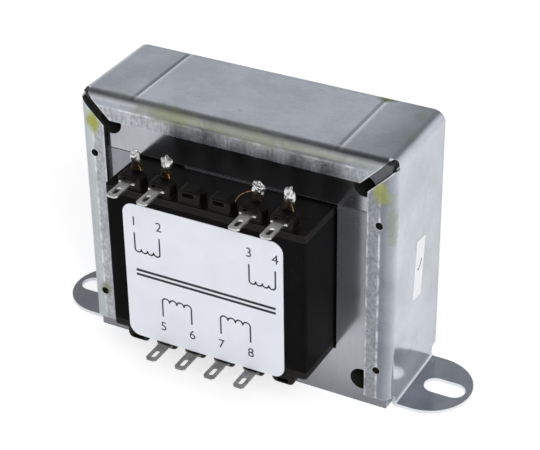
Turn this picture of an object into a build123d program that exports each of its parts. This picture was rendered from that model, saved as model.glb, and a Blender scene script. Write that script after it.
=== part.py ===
from build123d import *
import os

# Chassis mount transformer, in millimetres.
# X runs along the line of the two feet, Y from the front (tags and label) to the back, Z up.
# The origin lies on the mounting plane, midway between the two fixing slots.

# Laminated core
outer_limb = 14.0  # width of the left and right limbs
centre_limb = 28.0  # width of the limb that carries the coil
window_width = 14.0  # gap between the centre limb and an outer limb
window_height = 42.0  # height of the gap
yoke = 14.0  # height of the bar above and below the windows
stack = 28.0  # thickness of the pile of laminations
bundles = 6  # bundles in the pile, turned end for end from one to the next
corner_hole = 5.8  # diameter of the four holes in the core's corners
corner_hole_inset = 7.0  # from the core's edges to a corner hole's centre
core_lift = 0.4  # from the mounting plane up to the underside of the core

# Channel frame, folded from one sheet
sheet = 0.9  # thickness of the sheet
core_gap = 0.5  # from the core to the webs of the frame and to its front flanges
bend_inner = 1.65  # inner radius of the front folds and the corners, which just clears the core's edges
rear_bend_inner = 0.3  # inner radius of the folds at the back, whose flanges lie flat on the core
flange_reach = 7.0  # from the outside of a web to the free edge of its flange
flange_start = 3.4  # from the underside of the core up to the lower ends of the side flanges
mitre_width = 2.6  # width of the slots between the top flange and the side flanges at the front
mitre_overrun = 0.5  # how far the round end of such a slot runs past the fold
rear_mitre_width = 1.6  # width of the slots at the back, which end at the fold
stake_hole = 2.0  # diameter of the holes in the front side flanges
stake_inset = 3.8  # from the outside of a side web to such a hole
stake_margin = 2.0  # how far such a hole lies below the lower or the upper end of the core's windows
groove_offset = 28.0  # from the middle of the frame to the grooves across its top
groove_width = 1.4  # width of those grooves
groove_depth = 0.2  # depth of those grooves
groove_margin = 0.6  # from the ends of those grooves to the folds

# Feet of the frame
foot_width = 23.2  # width of a foot, which is also twice the radius of its round end
foot_bend_inner = 0.8  # inner radius of the fold at the root of a foot
foot_notch_radius = 1.2  # rounding between the lower end of a side web and its foot
foot_notch_land = 0.05  # flat web that is left between that rounding and a fold, where they come close
slot_offset = 8.6  # from the outside of a side web to the middle of its fixing slot
slot_length = 11.0  # length of a fixing slot from end to end
slot_width = 6.0  # width of a fixing slot
foot_rim = 1.5  # metal left between a fixing slot and the tip of its foot

# Bobbin
window_clearance = 0.5  # from the bobbin to the far sides of the core's windows
limb_clearance = 0.3  # from the bobbin's tube to the centre limb
tube_wall = 1.2  # wall of the tube
tube_corner = 0.5  # rounding of the tube's outer corners
cheek = 1.8  # thickness of the end plates
partition = 1.2  # thickness of the plate between the primary and the secondary
partition_clearance = 0.3  # from that plate to the inside of the shrouds
overhang = 15.8  # from the core's face to the front of the bobbin, and the same at the back
bobbin_corner = 1.0  # rounding of the upright corners of the end plates and shrouds

# Tag bosses on the front edges of the bobbin's end plates
boss_count = 6  # bosses on each end plate
boss_pitch = 8.3  # from one boss to the next
boss_width = 6.2  # width of a boss
boss_height = 3.7  # how far a boss stands off its end plate
boss_set_back = 0.5  # from the front of the end plate to the front of a boss
boss_round = 1.5  # rounding of a boss's long upper edges
boss_bevel = 0.4  # bevel round the front of a boss
boss_floor = 1.9  # from the end plate to the floor of the slot that takes a tag
boss_slot_height = 1.2  # height of that slot
boss_slot_clearance = 0.6  # from the tail of a tag to each side of the slot

# Shrouds over the coil
shroud_wall = 1.2  # wall of the two shrouds
shroud_joint = 0.1  # gap between their free edges, inside the core's windows

# Windings and their tape, as thicknesses counted outwards from the tube
inner_winding = 3.9
layer_tape = 0.3
outer_winding = 4.15
outer_tape = 0.4

# Solder tags
tag_thickness = 0.5  # thickness of the strip
lug_width = 3.0  # width of the flat lug
lug_length = 8.0  # from the boss to the tip of the lug
lug_chamfer = 0.6  # cut corners at the tip
lug_slot_length = 3.2  # wire hole in the lug
lug_slot_width = 1.3
lug_slot_centre = 5.2  # from the boss to the middle of the wire hole
shoulder_width = 4.4  # stop that bears on the boss
shoulder_length = 0.8
tail_width = 2.0  # part that runs through the boss and turns off behind it
tail_bend_inner = 0.2  # inner radius of that turn
tail_gap = 0.2  # from the back of a boss to the turned end
primary_post = 6.4  # length of the turned end above the upper tags
secondary_post = 3.6  # length of the turned end below the lower tags
primary_places = (0, 1, 4, 5)  # bosses that carry a tag, counted from the left
secondary_places = (1, 2, 3, 4)  # the same for the lower bosses

# Wires from the coil to the tags, and the solder on them
lead = 0.5  # diameter of a wire
lead_clearance = 0.3  # round a wire where it passes an end plate
lead_drop = 1.2  # straight run of a wire inside the end plate
lead_slant = 6.0  # how far a wire runs down the coil from there
lead_converge = 0.7  # share of a wire's distance from the middle that is left at the end of that run
lead_stand_off = 0.1  # solder between a wire and the turned end of its tag
lead_turn_radius = 2.0  # radius of the turn between the two runs
primary_solder = 1.6  # radius of the solder on an upper tag
primary_solder_inset = 1.6  # from the end of the turned part to the middle of the solder
secondary_solder = 1.1  # radius of the solder on a lower tag
secondary_solder_inset = 0.6

# Labels
label_width = 44.2
label_height = 39.0
label_corner = 3.0
label_thickness = 0.15
label_offset = -0.5  # from the middle of the front, along X
label_middle = 32.5  # from the underside of the core up to the middle of the label
sticker_width = 4.8
sticker_height = 16.5
sticker_thickness = 0.1
sticker_tilt = 6.0  # degrees from upright
sticker_offset = 0.6  # from the middle of the side, towards the back
sticker_middle = 34.2  # from the underside of the core up to the middle of the sticker

same_place = 0.01  # two places nearer than this count as one when an edge is picked

# Places worked out from the sizes above
core_width = 2 * outer_limb + 2 * window_width + centre_limb
core_height = 2 * yoke + window_height
core_top = core_lift + core_height
core_face = stack / 2
window_low = core_lift + yoke
window_high = window_low + window_height

web_outside = core_width / 2 + core_gap + sheet
web_inside = web_outside - sheet
top_outside = core_top + core_gap + sheet
top_inside = top_outside - sheet
bend_outer = bend_inner + sheet
fold_start = core_face + core_gap - bend_inner
rear_fold_start = core_face - rear_bend_inner
slot_centre = web_outside + slot_offset
foot_tip = slot_centre + slot_length / 2 + foot_rim

tube_inside = Vector(centre_limb / 2 + limb_clearance, core_face + limb_clearance)
tube_outside = tube_inside + Vector(tube_wall, tube_wall)
bobbin_side = centre_limb / 2 + window_width - window_clearance
bobbin_front = core_face + overhang
bobbin_low = window_low + window_clearance
bobbin_high = window_high - window_clearance
bobbin_middle = (bobbin_low + bobbin_high) / 2

coil_build = inner_winding + layer_tape + outer_winding + outer_tape
coil_front = tube_outside.Y + coil_build
lead_line = coil_front + lead / 2
post_back = coil_front + lead + lead_stand_off
post_front = post_back + tag_thickness
boss_back = post_front + tail_gap
boss_front = bobbin_front - boss_set_back
tag_floor = bobbin_high + boss_floor


def boss_place(number):
    # X of a boss, counted from the left.
    return (number - (boss_count - 1) / 2) * boss_pitch


def plate(outline, low, high):
    # An outline drawn in X and Y, filled from z = low to z = high.
    return extrude(Plane.XY.offset(low) * outline, high - low)


def wall(outline, front, back):
    # An outline drawn in X and Z, filled from y = front to y = back.
    return extrude(Plane.XZ.offset(-front) * outline, front - back)


def upside_down(shape):
    # The same shape turned over about the level of the bobbin's middle.
    return mirror(shape, Plane.XY.offset(bobbin_middle))


def both_sides(shape):
    # A shape on the right and its mirror image on the left.
    return [shape, mirror(shape, Plane.YZ)]


def to_back(shapes):
    # Shapes at the front, moved to the back by a mirror.
    return [mirror(shape, Plane.XZ) for shape in shapes]


def corner_holes(level):
    inset = core_width / 2 - corner_hole_inset
    return [Pos(x, level) * Circle(corner_hole / 2) for x in (-inset, inset)]


def bundle_pair(number):
    # One bundle of E laminations and the I laminations that close it.
    # The E pieces of even bundles open upwards, those of odd bundles downwards.
    e_height = yoke + window_height
    window_x = (centre_limb + window_width) / 2
    e_outline = Pos(0, e_height / 2) * Rectangle(core_width, e_height)
    for x in (-window_x, window_x):
        e_outline -= Pos(x, yoke + window_height / 2) * Rectangle(window_width, window_height)
    e_outline -= corner_holes(corner_hole_inset)
    i_outline = Pos(0, e_height + yoke / 2) * Rectangle(core_width, yoke)
    i_outline -= corner_holes(core_height - corner_hole_inset)
    thickness = stack / bundles
    front = -core_face + number * thickness
    outlines = (e_outline, i_outline)
    pair = [Pos(0, 0, core_lift) * wall(outline, front, front + thickness) for outline in outlines]
    if number % 2:
        pair = [mirror(piece, Plane.XY.offset(core_lift + core_height / 2)) for piece in pair]
    return pair


def flange_profile(inner, gap):
    # Section of a fold and its flange: first size from the outside of the web, second from the core's face.
    outer = inner + sheet
    centre = (outer, gap - inner)
    edges = Polyline((outer, gap + sheet), (flange_reach, gap + sheet), (flange_reach, gap), (outer, gap))
    edges += CenterArc(centre, outer, 90, 90)
    edges += CenterArc(centre, inner, 90, 90)
    edges += Line((0, gap - inner), (sheet, gap - inner))
    return make_face(edges)


def frame_webs():
    # The top and the two sides, as one bent strip that stops at the folds of the flanges.
    strip_low = core_lift + flange_start
    outside = RectangleRounded(2 * web_outside, 2 * top_outside, bend_outer)
    inside = RectangleRounded(2 * web_inside, 2 * top_inside, bend_inner)
    below = Pos(0, strip_low - top_outside) * Rectangle(4 * web_outside, 2 * top_outside)
    return wall(outside - inside - below, -fold_start, rear_fold_start)


def flanges(profile):
    # Two side flanges and a top flange with the given section, folded over the front of the core.
    low = core_lift + flange_start
    side_plane = Plane((web_outside, -core_face, low), x_dir=(-1, 0, 0), z_dir=(0, 0, 1))
    side = extrude(side_plane * profile, top_outside - bend_outer - low)
    top_half = web_outside - bend_outer
    top_plane = Plane((top_half, -core_face, top_outside), x_dir=(0, 0, -1), z_dir=(-1, 0, 0))
    return both_sides(side) + [extrude(top_plane * profile, 2 * top_half)]


def mitre_slots(start, width):
    # Round-ended slots that run in on the diagonal from the two upper front corners to y = start.
    middle = start - width / 2
    corner = Plane((web_outside, middle, top_outside), x_dir=(1, 0, -1), z_dir=(1, 0, 1))
    length = 2 * bend_outer + width
    outline = Circle(width / 2) + Pos(0, -length / 2) * Rectangle(width, length)
    return both_sides(extrude(corner * outline, 2 * flange_reach, both=True))


def stake_holes():
    x = web_outside - stake_inset
    levels = (window_low - stake_margin, window_high - stake_margin)
    depth = core_gap + sheet
    holes = [wall(Pos(x, z) * Circle(stake_hole / 2), -core_face - depth, -core_face) for z in levels]
    return holes + [mirror(hole, Plane.YZ) for hole in holes]


def top_grooves():
    edge = groove_width / 2
    section = make_face(Polyline((-edge, 0), (edge, 0), (0, -groove_depth), close=True))
    front = -fold_start + groove_margin
    back = rear_fold_start - groove_margin
    return both_sides(wall(Pos(groove_offset, top_outside) * section, front, back))


def foot():
    # Neck below the side web, fold and round-ended plate, on the right.
    bend_top = sheet + foot_bend_inner
    strip_low = core_lift + flange_start
    root = web_outside + foot_bend_inner
    neck_face = Rectangle(foot_width, strip_low - bend_top)
    neck_plane = Plane((web_inside, 0, (bend_top + strip_low) / 2), x_dir=(0, 1, 0), z_dir=(1, 0, 0))
    neck = extrude(neck_plane * neck_face, sheet)
    ring = Circle(foot_bend_inner + sheet) - Circle(foot_bend_inner)
    quarter = Pos(-bend_top / 2, -bend_top / 2) * Rectangle(bend_top, bend_top)
    fold = wall(Pos(root, bend_top) * (ring & quarter), -foot_width / 2, foot_width / 2)
    end_centre = foot_tip - foot_width / 2
    outline = Pos((root + end_centre) / 2, 0) * Rectangle(end_centre - root, foot_width)
    outline += Pos(end_centre, 0) * Circle(foot_width / 2) - Pos(root - foot_width / 2, 0) * Rectangle(
        foot_width, 2 * foot_width
    )
    outline -= Pos(slot_centre, 0) * SlotOverall(slot_length, slot_width)
    return neck + fold + plate(outline, 0, sheet)


def round_notches(frame, y, fold):
    # Rounds the inner corners where the side webs narrow to the feet, within the flat web beside the fold.
    def at_notch(edge):
        middle = edge.center()
        level = abs(middle.Z - core_lift - flange_start) < same_place
        return level and abs(middle.Y - y) < same_place

    radius = min(foot_notch_radius, fold - foot_width / 2 - foot_notch_land)
    if radius <= 0:
        return frame
    return fillet(frame.edges().filter_by(Axis.X).filter_by(at_notch), radius)


def channel_frame():
    frame = frame_webs() + flanges(flange_profile(bend_inner, core_gap)) + both_sides(foot())
    frame += to_back(flanges(flange_profile(rear_bend_inner, 0)))
    frame -= mitre_slots(mitre_overrun - fold_start, mitre_width)
    frame -= to_back(mitre_slots(-rear_fold_start, rear_mitre_width))
    frame -= stake_holes()
    frame -= top_grooves()
    frame = round_notches(frame, -foot_width / 2, fold_start)
    return round_notches(frame, foot_width / 2, rear_fold_start)


def boss():
    # A moulded block on the upper end plate, with a rounded top and a slot right through for a tag.
    outline = Rectangle(boss_width, boss_height)
    outline = fillet(outline.vertices().group_by(Axis.Y)[-1], boss_round)
    block = wall(Pos(0, bobbin_high + boss_height / 2) * outline, -boss_front, -boss_back)
    rim = block.faces().sort_by(Axis.Y)[0].edges().sort_by(Axis.Z)[1:]
    block = chamfer(rim, boss_bevel)
    slot = Rectangle(tail_width + 2 * boss_slot_clearance, boss_slot_height)
    return block - wall(Pos(0, tag_floor + boss_slot_height / 2) * slot, -boss_front, -boss_back)


def bobbin():
    # Tube, two end plates, partition and the twelve bosses, moulded in one.
    tube_outline = RectangleRounded(2 * tube_outside.X, 2 * tube_outside.Y, tube_corner)
    bore = Rectangle(2 * tube_inside.X, 2 * tube_inside.Y)
    end_outline = RectangleRounded(2 * bobbin_side, 2 * bobbin_front, bobbin_corner)
    wire_way = lead + 2 * lead_clearance
    for number in range(boss_count):
        end_outline -= Pos(boss_place(number), -lead_line) * Rectangle(wire_way, wire_way)
    partition_inset = shroud_wall + partition_clearance
    partition_outline = Rectangle(2 * (bobbin_side - partition_inset), 2 * (bobbin_front - partition_inset))
    upper = plate(end_outline - bore, bobbin_high - cheek, bobbin_high)
    upper += [Pos(boss_place(number), 0, 0) * boss() for number in range(boss_count)]
    body = plate(tube_outline - bore, bobbin_low, bobbin_high)
    body += plate(partition_outline - bore, bobbin_middle - partition / 2, bobbin_middle + partition / 2)
    return body + [upper, upside_down(upper)]


def shroud():
    # The front cover of the coil, which sits between the end plates and reaches back into the windows.
    outside = RectangleRounded(2 * bobbin_side, 2 * bobbin_front, bobbin_corner)
    inside = Rectangle(2 * (bobbin_side - shroud_wall), 2 * (bobbin_front - shroud_wall))
    rear_half = Pos(0, bobbin_front - shroud_joint / 2) * Rectangle(4 * bobbin_side, 2 * bobbin_front)
    return plate(outside - inside - rear_half, bobbin_low + cheek, bobbin_high - cheek)


def coil_layer(start, thickness):
    # One winding or wrap of tape round the tube, in the primary's half of the bobbin.
    low = bobbin_middle + partition / 2
    high = bobbin_high - cheek
    outlines = []
    for offset in (start, start + thickness):
        width = 2 * (tube_outside.X + offset)
        depth = 2 * (tube_outside.Y + offset)
        outlines.append(RectangleRounded(width, depth, tube_corner + offset))
    return plate(outlines[1] - outlines[0], low, high)


def coil_layers():
    # The four layers by name, from the tube outwards.
    layers = {}
    start = 0
    sizes = {
        "winding_1": inner_winding,
        "layer_tape": layer_tape,
        "winding_2": outer_winding,
        "outer_tape": outer_tape,
    }
    for name, thickness in sizes.items():
        layers[name] = coil_layer(start, thickness)
        start += thickness
    return layers


def tag(post):
    # A stamped tag of an upper boss at X = 0: lug, shoulder, tail and the end turned up behind the boss.
    front = -boss_front
    blank = Pos(0, front - lug_length / 2) * Rectangle(lug_width, lug_length)
    blank = chamfer(blank.vertices().group_by(Axis.Y)[0], lug_chamfer)
    blank -= Pos(0, front - lug_slot_centre) * SlotOverall(lug_slot_length, lug_slot_width, rotation=90)
    blank += Pos(0, front - shoulder_length / 2) * Rectangle(shoulder_width, shoulder_length)
    turn = tail_bend_inner + tag_thickness
    tail_end = -post_back - turn
    blank += Pos(0, (front + tail_end) / 2) * Rectangle(tail_width, tail_end - front)
    flat = plate(blank, tag_floor, tag_floor + tag_thickness)
    corner = Plane((0, tail_end, tag_floor + turn), x_dir=(0, 1, 0), z_dir=(1, 0, 0))
    ring = Circle(turn) - Circle(tail_bend_inner)
    quarter = Pos(turn / 2, -turn / 2) * Rectangle(turn, turn)
    bend = extrude(corner * (ring & quarter), tail_width / 2, both=True)
    post_low = tag_floor + turn
    upright = Pos(0, -(post_back + post_front) / 2) * Rectangle(tail_width, tag_thickness)
    return flat + bend + plate(upright, post_low, tag_floor + post)


def lead_wire(x, post, solder_inset):
    # A wire that lies on the coil, comes up through the end plate and stands against the turned end.
    high = tag_floor + post - solder_inset
    turn_level = bobbin_high - cheek - lead_drop
    end = (x * lead_converge, -lead_line, turn_level - lead_slant)
    points = [(x, -lead_line, high), (x, -lead_line, turn_level), end]
    route = FilletPolyline(*points, radius=lead_turn_radius)
    return sweep(Plane(route @ 0, z_dir=route % 0) * Circle(lead / 2), route)


def solder_bead(x, post, solder_inset, radius):
    # A bead round the turned end and the end of the wire beside it.
    bead = Pos(x, -post_back + lead_stand_off / 2, tag_floor + post - solder_inset) * Sphere(radius)
    return bead - Pos(x, 0, 0) * tag(post) - lead_wire(x, post, solder_inset)


def rating_label():
    outline = RectangleRounded(label_width, label_height, label_corner)
    outline = Pos(label_offset, core_lift + label_middle) * outline
    return wall(outline, -bobbin_front - label_thickness, -bobbin_front)


def side_sticker():
    middle = (web_outside, sticker_offset, core_lift + sticker_middle)
    side = Plane(middle, x_dir=(0, 1, 0), z_dir=(1, 0, 0))
    outline = Rectangle(sticker_width, sticker_height, rotation=-sticker_tilt)
    return extrude(side * outline, sticker_thickness)


def as_drawn(shape):
    # The upper half of the transformer is drawn where it stands.
    return shape


def terminations(name, places, post, solder_inset, radius, place_all):
    # The tags, wires and solder of one half of the transformer, as named nodes.
    nodes = {}
    beads = []
    for count, number in enumerate(places, start=1):
        x = boss_place(number)
        nodes[f"{name}_tag_{count}"] = place_all(Pos(x, 0, 0) * tag(post))
        nodes[f"{name}_lead_{count}"] = place_all(lead_wire(x, post, solder_inset))
        beads.append(place_all(solder_bead(x, post, solder_inset, radius)))
    nodes[f"{name}_solder"] = Compound(children=beads)
    return nodes


def all_nodes():
    pairs = [bundle_pair(number) for number in range(bundles)]
    nodes = {
        "channel_frame": channel_frame(),
        "e_laminations": Compound(children=[pair[0] for pair in pairs]),
        "i_laminations": Compound(children=[pair[1] for pair in pairs]),
        "bobbin": bobbin(),
        "front_shroud": shroud(),
        "rear_shroud": mirror(shroud(), Plane.XZ),
        "rating_label": rating_label(),
        "side_sticker": side_sticker(),
    }
    for name, layer in coil_layers().items():
        nodes[f"primary_{name}"] = layer
        nodes[f"secondary_{name}"] = upside_down(layer)
    primary = (primary_post, primary_solder_inset, primary_solder, as_drawn)
    secondary = (secondary_post, secondary_solder_inset, secondary_solder, upside_down)
    nodes.update(terminations("primary", primary_places, *primary))
    nodes.update(terminations("secondary", secondary_places, *secondary))
    return nodes


os.makedirs("parts", exist_ok=True)
for node, shape in all_nodes().items():
    export_step(shape, f"parts/{node}.step")
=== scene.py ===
import math

import bmesh
import bpy
import numpy as np
from mathutils import Matrix, Quaternion, Vector


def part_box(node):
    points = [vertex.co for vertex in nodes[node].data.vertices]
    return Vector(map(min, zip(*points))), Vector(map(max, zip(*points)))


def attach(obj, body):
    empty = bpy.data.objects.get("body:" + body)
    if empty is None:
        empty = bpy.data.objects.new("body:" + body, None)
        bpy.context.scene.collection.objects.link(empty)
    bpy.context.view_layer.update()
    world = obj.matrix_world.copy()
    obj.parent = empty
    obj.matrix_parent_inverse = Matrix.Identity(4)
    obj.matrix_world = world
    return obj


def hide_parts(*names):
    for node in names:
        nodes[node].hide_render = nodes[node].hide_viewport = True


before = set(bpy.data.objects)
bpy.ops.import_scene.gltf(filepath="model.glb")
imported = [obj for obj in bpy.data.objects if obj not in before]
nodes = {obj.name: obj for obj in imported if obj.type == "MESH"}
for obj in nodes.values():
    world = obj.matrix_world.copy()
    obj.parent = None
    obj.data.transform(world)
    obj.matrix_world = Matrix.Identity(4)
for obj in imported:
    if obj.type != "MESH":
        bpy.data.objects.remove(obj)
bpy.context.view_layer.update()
mm = 0.001
mergeDistance = 1e-7  # points of a new piece that lie closer are one, in metres
print("frame loaded:", len(nodes), "nodes")


# surfaces from arrays
def gridFaces(points, closeRound=False):
    # points is an array of rows by columns; each cell of the grid becomes one quad,
    # and closeRound joins the last column to the first
    rows, columns = points.shape[:2]
    index = np.arange(rows * columns).reshape(rows, columns)
    if closeRound:
        index = np.concatenate((index, index[:, :1]), axis=1)
    quads = np.stack((index[:-1, :-1], index[:-1, 1:], index[1:, 1:], index[1:, :-1]), axis=-1)
    return points.reshape(-1, 3), quads.reshape(-1, 4)


def placePiece(mesh):
    # every new piece rides on the root, as nothing moves
    piece = bpy.data.objects.new(mesh.name, mesh)
    bpy.context.collection.objects.link(piece)
    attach(piece, "root")
    return piece


def buildPiece(name, surfaces, smooth=True, solid=True):
    # several grids go into one mesh; doubles at poles are merged and closed shells turned outwards
    starts = np.cumsum([0] + [len(points) for points, quads in surfaces])
    points = np.concatenate([points for points, quads in surfaces])
    quads = np.concatenate([quads + start for (corners, quads), start in zip(surfaces, starts)])
    mesh = bpy.data.meshes.new(name)
    mesh.from_pydata(points.tolist(), [], quads.tolist())
    if solid:
        shell = bmesh.new()
        shell.from_mesh(mesh)
        bmesh.ops.remove_doubles(shell, verts=shell.verts, dist=mergeDistance)
        bmesh.ops.recalc_face_normals(shell, faces=shell.faces)
        shell.to_mesh(mesh)
        shell.free()
    mesh.polygons.foreach_set("use_smooth", np.full(len(mesh.polygons), smooth))
    return placePiece(mesh)


def tube(path, radius, sides=10, reference=(0.0, 0.0, 1.0)):
    # a circle carried along a path: at each point the circle lies across the tangent, its first axis is
    # tangent x reference, and both ends are closed by shrinking the circle to the path's end
    tangent = np.gradient(path, axis=0)
    tangent /= np.linalg.norm(tangent, axis=1, keepdims=True)
    across = np.cross(tangent, np.asarray(reference))
    across /= np.linalg.norm(across, axis=1, keepdims=True)
    upright = np.cross(across, tangent)
    turn = np.linspace(0, 2 * np.pi, sides, endpoint=False)
    ring = across[:, None] * np.cos(turn)[None, :, None] + upright[:, None] * np.sin(turn)[None, :, None]
    radii = np.broadcast_to(np.asarray(radius, float), len(path))
    body = path[:, None] + ring * radii[:, None, None]
    ends = [np.repeat(path[i][None, None], sides, axis=1) for i in (0, -1)]
    return gridFaces(np.concatenate((ends[0], body, ends[1])), closeRound=True)


def bezier(points, count):
    # Bernstein sum of any number of control points, at equal steps of t from 0 to 1
    points = np.asarray(points, float)
    order = len(points) - 1
    t = np.linspace(0, 1, count)[:, None]
    weights = [math.comb(order, i) * t ** i * (1 - t) ** (order - i) for i in range(order + 1)]
    return sum(weight * point for weight, point in zip(weights, points))


# solder on the upper tags
beadShape = dict(
    halfSize=(1.45, 1.25, 1.85),  # of the largest bead, in mm
    scale=(0.80, 1.0, 0.86, 0.96),  # of the four beads
    below=1.5,  # from the top of the tag down to the bead's middle, in mm
    lean=((-0.7, 0.0, 0.2), (0.1, 0.0, 0.1), (0.1, 0.0, 0.0), (0.1, 0.0, 0.1)),  # shift of each bead in mm
    lump=0.15,  # unevenness as a share of the radius
    waves=9, waveRates=(1.6, 5.0), waveFade=(1.0, 3.0),  # its waves, their rates and divisors
    spike=0.30,  # height of the drawn-out tips as a share of the radius
    tips=3, tipHeights=(0.3, 1.0), tipRise=0.8, sharpness=12,
    rings=48, steps=72, seed=11,
)


def postOf(tag):
    # middle, back and top of a tag, read from its box: where the end of an upper one turns up
    low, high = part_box(tag)
    return np.array(((low.x + high.x) / 2, high.y, high.z))


def solderBead(centre, scale, seed):
    # radius(direction) = 1 + sum of sine waves over the direction + sharp bumps where the direction
    # meets a few random axes; the unit sphere is then stretched to the bead's three half sizes
    rng = np.random.default_rng(seed)
    latitude = np.linspace(0, np.pi, beadShape["rings"])[:, None]
    longitude = np.linspace(0, 2 * np.pi, beadShape["steps"], endpoint=False)[None, :]
    ray = np.stack((
        np.sin(latitude) * np.cos(longitude),
        np.sin(latitude) * np.sin(longitude),
        np.cos(latitude) * np.ones_like(longitude),
    ), axis=-1)
    count = beadShape["waves"]
    waves = rng.normal(size=(count, 3)) * np.linspace(*beadShape["waveRates"], count)[:, None]
    phases = rng.uniform(0, 2 * np.pi, count)
    strengths = beadShape["lump"] / np.linspace(*beadShape["waveFade"], count)
    radius = 1 + np.sum(strengths * np.sin(ray @ waves.T + phases), axis=-1)
    axes = rng.normal(size=(beadShape["tips"], 3))
    axes[:, 2] = np.abs(axes[:, 2]) * beadShape["tipRise"]
    axes /= np.linalg.norm(axes, axis=1, keepdims=True)
    heights = beadShape["spike"] * rng.uniform(*beadShape["tipHeights"], beadShape["tips"])
    radius = radius + np.sum(heights * np.clip(ray @ axes.T, 0, 1) ** beadShape["sharpness"], axis=-1)
    size = np.array(beadShape["halfSize"]) * scale * mm
    return gridFaces(centre + ray * radius[..., None] * size, closeRound=True)


upperTags = [f"primary_tag_{number}" for number in range(1, 5)]
beadSurfaces = []
for number, tag in enumerate(upperTags):
    shift = np.array(beadShape["lean"][number]) - np.array((0, 0, beadShape["below"]))
    centre = postOf(tag) + shift * mm
    beadSurfaces.append(solderBead(centre, beadShape["scale"][number], beadShape["seed"] + number))
solderBeads = buildPiece("solder_beads", beadSurfaces)
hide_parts("primary_solder")
print("solder beads done")


# fine wire wound on the upper tags
wrapShape = dict(
    wire=0.09 * mm,  # radius of the wire
    halfWidth=1.05 * mm, halfDepth=0.75 * mm,  # oval that the turns follow
    flare=0.45 * mm,  # by which the lowest turn is wider
    turns=8, strands=3,
    fall=(2.6 * mm, 3.4 * mm, 3.0 * mm),  # from the top turn of each strand to its lowest
    below=2.2 * mm,  # from the top of the tag down to the top turn
    forward=0.15 * mm,  # from the back of the tag's turned end to the middle of the turns
    wobble=0.17 * mm, sideways=0.5,  # unevenness up and down, and its share in and out
    waveRates=(0.37, 0.83, 1.71), waveSizes=(0.4, 1.0), phases=(0, 6),
    turnSteps=40, sides=8, seed=4,
)


def wireTurns(post, strand, seed):
    # angle runs evenly through the turns; the place on the oval is (halfWidth cos, halfDepth sin), which
    # widens on the way down, the height falls evenly, and slow sine waves push the wire in, out, up and down
    rng = np.random.default_rng(seed)
    share = np.linspace(0, 1, wrapShape["turnSteps"] * wrapShape["turns"])
    angle = 2 * np.pi * wrapShape["turns"] * share + rng.uniform(*wrapShape["phases"])
    waves = [
        rng.uniform(*wrapShape["waveSizes"]) * np.sin(angle * rate + rng.uniform(*wrapShape["phases"]))
        for rate in wrapShape["waveRates"]
    ]
    drift = sum(waves) * wrapShape["wobble"]
    wider = wrapShape["flare"] * share + drift * wrapShape["sideways"]
    path = np.stack((
        (wrapShape["halfWidth"] + wider) * np.cos(angle),
        (wrapShape["halfDepth"] + wider) * np.sin(angle),
        -wrapShape["fall"][strand] * share + drift,
    ), axis=-1)
    start = post + np.array((0, -wrapShape["forward"], -wrapShape["below"]))
    return tube(path + start, wrapShape["wire"], wrapShape["sides"])


turnSurfaces = []
for tag in upperTags:
    for strand in range(wrapShape["strands"]):
        turnSurfaces.append(wireTurns(postOf(tag), strand, wrapShape["seed"] + len(turnSurfaces)))
wireWraps = buildPiece("wire_wraps", turnSurfaces)

# one loose end bows out of the third bead and down to its boss, the others are short stubs;
# each route is a row of control points in mm, counted from the top of its tag
looseEnds = dict(
    wire=0.11 * mm, steps=40, sides=8,
    routes=(
        (2, ((-0.6, -0.4, -2.2), (-2.6, -1.0, -2.6), (-4.4, -1.8, -3.4), (-4.9, -2.2, -5.6))),
        (0, ((0.5, -0.6, -3.0), (1.4, -1.2, -3.2), (1.9, -1.4, -4.2))),
        (1, ((0.4, -0.6, -3.2), (1.3, -1.0, -3.6), (1.4, -1.2, -4.8))),
        (3, ((0.5, -0.6, -2.8), (1.5, -1.0, -3.4), (1.7, -1.3, -4.6))),
    ),
)
endSurfaces = []
for number, route in looseEnds["routes"]:
    path = postOf(upperTags[number]) + bezier(route, looseEnds["steps"]) * mm
    endSurfaces.append(tube(path, looseEnds["wire"], looseEnds["sides"], (0, 1, 0)))
wireEnds = buildPiece("wire_ends", endSurfaces)
print("wires done")


# print on the label: terminal numbers and the sign for two primary and two secondary windings
printLook = dict(
    stroke=0.42 * mm,  # width of the drawn lines
    coreStroke=0.7 * mm,
    proud=0.03 * mm,  # ink in front of the label
    numberSize=3.7 * mm,
    numberInset=4.9 * mm,  # from the label's edge to the middle of the numbers
    coilInset=12.6 * mm,  # from the label's edge to the line of the coils
    coreGap=1.3 * mm,  # between the two core lines
    cornerShift=1.2 * mm,  # keeps the outer numbers clear of the label's rounded corners
    leadGap=0.85,  # from the middle of a number to the start of its line, in heights of a number
    bumps=4, bumpSteps=24,
)
labelLow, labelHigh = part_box("rating_label")
labelMiddle = (labelLow + labelHigh) / 2
inkPlane = labelLow.y - printLook["proud"]


def bandAlong(path, width):
    # both edges of a flat band: each point of the path shifted half the width along the path's normal
    path = np.asarray(path, float)
    tangent = np.gradient(path, axis=0)
    tangent /= np.linalg.norm(tangent, axis=1, keepdims=True)
    normal = np.stack((-tangent[:, 1], tangent[:, 0]), axis=-1)
    return np.stack((path + normal * width / 2, path - normal * width / 2), axis=1)


def flatStroke(path, width):
    # a band in the plane of the label, x across and z up
    sides = bandAlong(path, width)
    depth = np.full(sides.shape[:2], inkPlane)
    return gridFaces(np.stack((sides[..., 0], depth, sides[..., 1]), axis=-1))


def coilSign(left, right, level, away):
    # half circles in a row between two terminals: x runs on by one diameter a bump, z follows |sin|
    turn = np.linspace(0, np.pi * printLook["bumps"], printLook["bumpSteps"] * printLook["bumps"] + 1)
    radius = (right - left) / (2 * printLook["bumps"])
    bump = np.floor(turn / np.pi - 1e-9).clip(0)
    x = left + radius * (2 * bump + 1 - np.cos(turn - np.pi * bump))
    z = level + away * radius * np.abs(np.sin(turn))
    return np.stack((x, z), axis=-1)


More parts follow.
